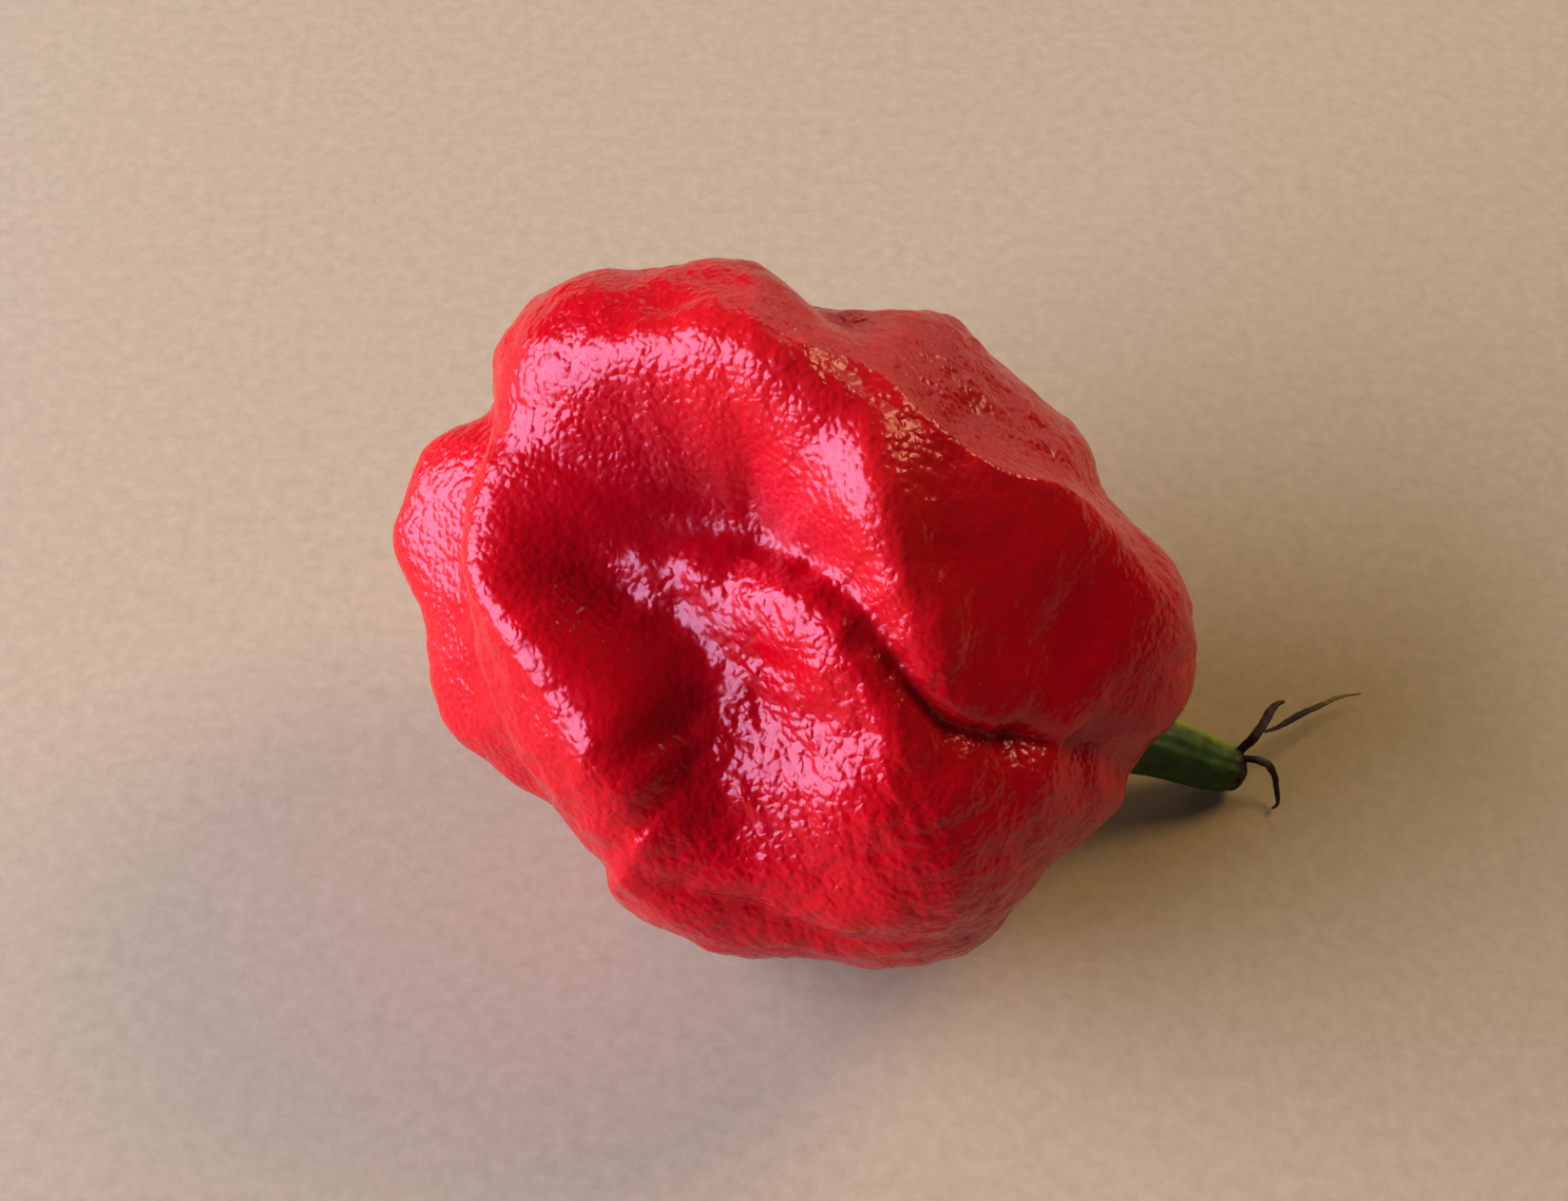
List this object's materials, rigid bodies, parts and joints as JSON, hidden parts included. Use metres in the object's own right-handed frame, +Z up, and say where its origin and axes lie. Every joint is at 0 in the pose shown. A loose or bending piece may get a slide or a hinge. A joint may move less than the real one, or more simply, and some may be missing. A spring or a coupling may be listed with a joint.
{
  "type": "chilli pepper",
  "caption": "Squat, deeply folded red chilli pepper lying on its side, with its green calyx, short torn stem and a few dry strands at the stem's end.",
  "frame": {"origin": "on the surface the pepper lies on, under the middle of its bounding box", "axes": "+X from the blossom tip to the stem's torn end, +Z up"},
  "size_m": [0.0662, 0.0432, 0.0422],
  "materials": {
    "chilli_skin": "waxy, finely pebbled, satin to glossy",
    "stem_green": "matte, lightly ribbed, drying at the torn end",
    "dry_strand": "dull dry plant fibre"
  },
  "bodies": {
    "root": {"pod": "chilli_skin", "stem": "stem_green", "upper_strand": "dry_strand", "long_strand": "dry_strand", "curled_strand": "dry_strand"}
  },
  "joints": []
}
